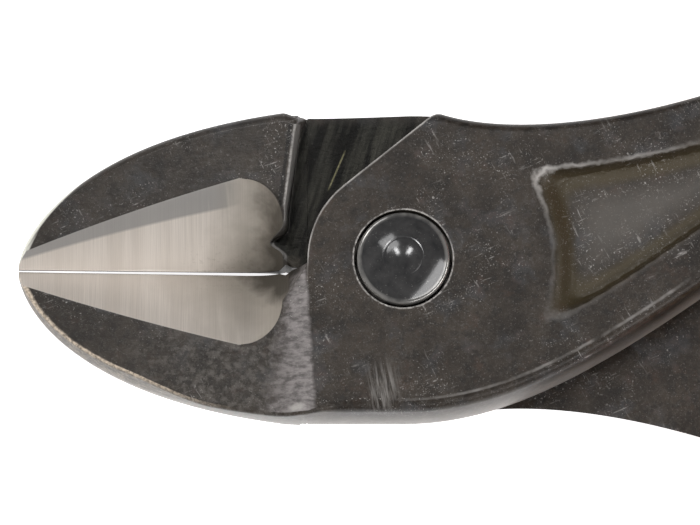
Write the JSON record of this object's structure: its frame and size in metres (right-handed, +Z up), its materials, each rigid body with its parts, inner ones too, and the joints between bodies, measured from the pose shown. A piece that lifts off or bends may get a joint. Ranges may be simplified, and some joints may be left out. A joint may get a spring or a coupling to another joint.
{
  "type": "insulated diagonal cutting pliers",
  "caption": "Diagonal cutting pliers with ground cutting jaws, a riveted half-lap joint and insulated handles with hand guards.",
  "frame": {"origin": "middle of the bounding box in plan, on the surface the tool lies on", "axes": "+X from the jaw tips to the handle ends, +Y to the handle of the front lever, +Z up along the pivot axis towards the rivet head"},
  "size_m": [0.1597, 0.0566, 0.019],
  "materials": {
    "forged_steel": "dark oxidised forged skin, bright ground cutting facets",
    "rivet_steel": "polished blue-black",
    "sleeve_plastic": "smooth moulded",
    "shell_plastic": "fine moulded grain",
    "pad_rubber": "soft matt, ribbed"
  },
  "bodies": {
    "rear_half": {"rear_lever": "forged_steel", "pivot_rivet": "rivet_steel", "lower_core_sleeve": "sleeve_plastic", "lower_grip_shell": "shell_plastic", "lower_palm_pad": "pad_rubber", "lower_finger_pad": "pad_rubber"},
    "front_half": {"front_lever": "forged_steel", "upper_core_sleeve": "sleeve_plastic", "upper_grip_shell": "shell_plastic", "upper_palm_pad": "pad_rubber", "upper_finger_pad": "pad_rubber"}
  },
  "joints": [
    {"name": "jaw_pivot", "type": "hinge", "parent": "rear_half", "child": "front_half", "pos_m": [-0.04935, 0, 0.0095], "axis": [0, 0, 1], "range_deg": [0, 55]}
  ]
}
